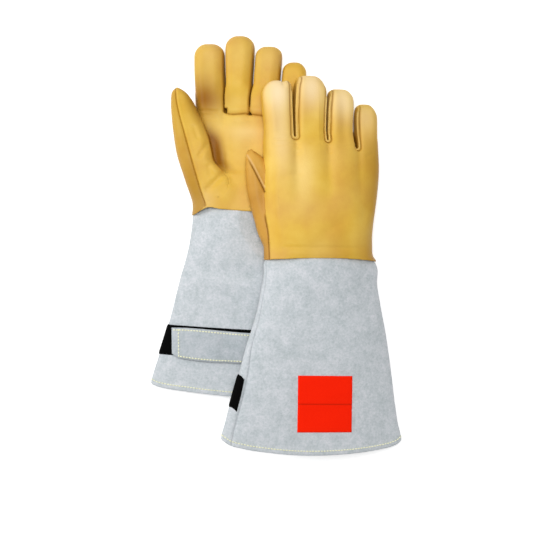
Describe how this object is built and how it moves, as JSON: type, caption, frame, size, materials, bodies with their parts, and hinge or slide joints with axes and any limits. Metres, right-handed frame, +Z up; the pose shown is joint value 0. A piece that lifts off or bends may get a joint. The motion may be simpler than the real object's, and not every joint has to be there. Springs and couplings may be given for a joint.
{
  "type": "welding gloves",
  "caption": "Pair of lined leather gauntlet gloves with flared split-leather cuffs and hook-and-loop wrist straps.",
  "frame": {"origin": "middle of the pair's footprint, on the surface that they lie on", "axes": "+Z up, +Y towards the fingertips, -X the side of both thumbs"},
  "size_m": [0.2484, 0.405, 0.0595],
  "materials": {
    "grain_leather": "smooth tumbled grain leather, soft sheen",
    "split_leather": "napped suede split leather, matt",
    "lining": "brushed fleece lining",
    "hook_and_loop": "woven nylon hook-and-loop tape",
    "label": "woven label cloth"
  },
  "bodies": {
    "left_glove": {"left_back_panel": "grain_leather", "left_cuff_back_panel": "split_leather", "left_cuff_palm_panel": "split_leather", "left_hand_lining": "lining", "left_index_middle_fourchette": "grain_leather", "left_loop_tape": "hook_and_loop", "left_middle_finger_front": "grain_leather", "left_middle_ring_fourchette": "grain_leather", "left_palm_panel": "grain_leather", "left_ring_finger_front": "grain_leather", "left_ring_little_fourchette": "grain_leather", "left_strap": "split_leather", "left_thumb_back": "grain_leather", "left_thumb_front": "grain_leather"},
    "left_strap_tab": {"left_strap_tab": "split_leather", "left_hook_tape": "hook_and_loop"},
    "right_glove": {"right_back_panel": "grain_leather", "right_cuff_back_panel": "split_leather", "right_cuff_palm_panel": "split_leather", "right_hand_lining": "lining", "right_index_middle_fourchette": "grain_leather", "right_label": "label", "right_loop_tape": "hook_and_loop", "right_middle_finger_front": "grain_leather", "right_middle_ring_fourchette": "grain_leather", "right_palm_panel": "grain_leather", "right_ring_finger_front": "grain_leather", "right_ring_little_fourchette": "grain_leather", "right_strap": "split_leather", "right_thumb_back": "grain_leather", "right_thumb_front": "grain_leather"},
    "right_strap_tab": {"right_strap_tab": "split_leather", "right_hook_tape": "hook_and_loop"}
  },
  "joints": [
    {"name": "right_glove_lift", "type": "slide", "parent": "left_glove", "child": "right_glove", "axis": [0, 0, 1], "range_m": [0, 0.15]},
    {"name": "left_strap_tab_fold", "type": "hinge", "parent": "left_glove", "child": "left_strap_tab", "pos_m": [-0.055, -0.10153, 0.02272], "axis": [0.0521, 0.9947, 0.0884], "range_deg": [0, 85]},
    {"name": "right_strap_tab_fold", "type": "hinge", "parent": "right_glove", "child": "right_strap_tab", "pos_m": [0.01696, -0.14953, 0.02466], "axis": [-0.0407, -0.9976, 0.0559], "range_deg": [0, 22]}
  ]
}
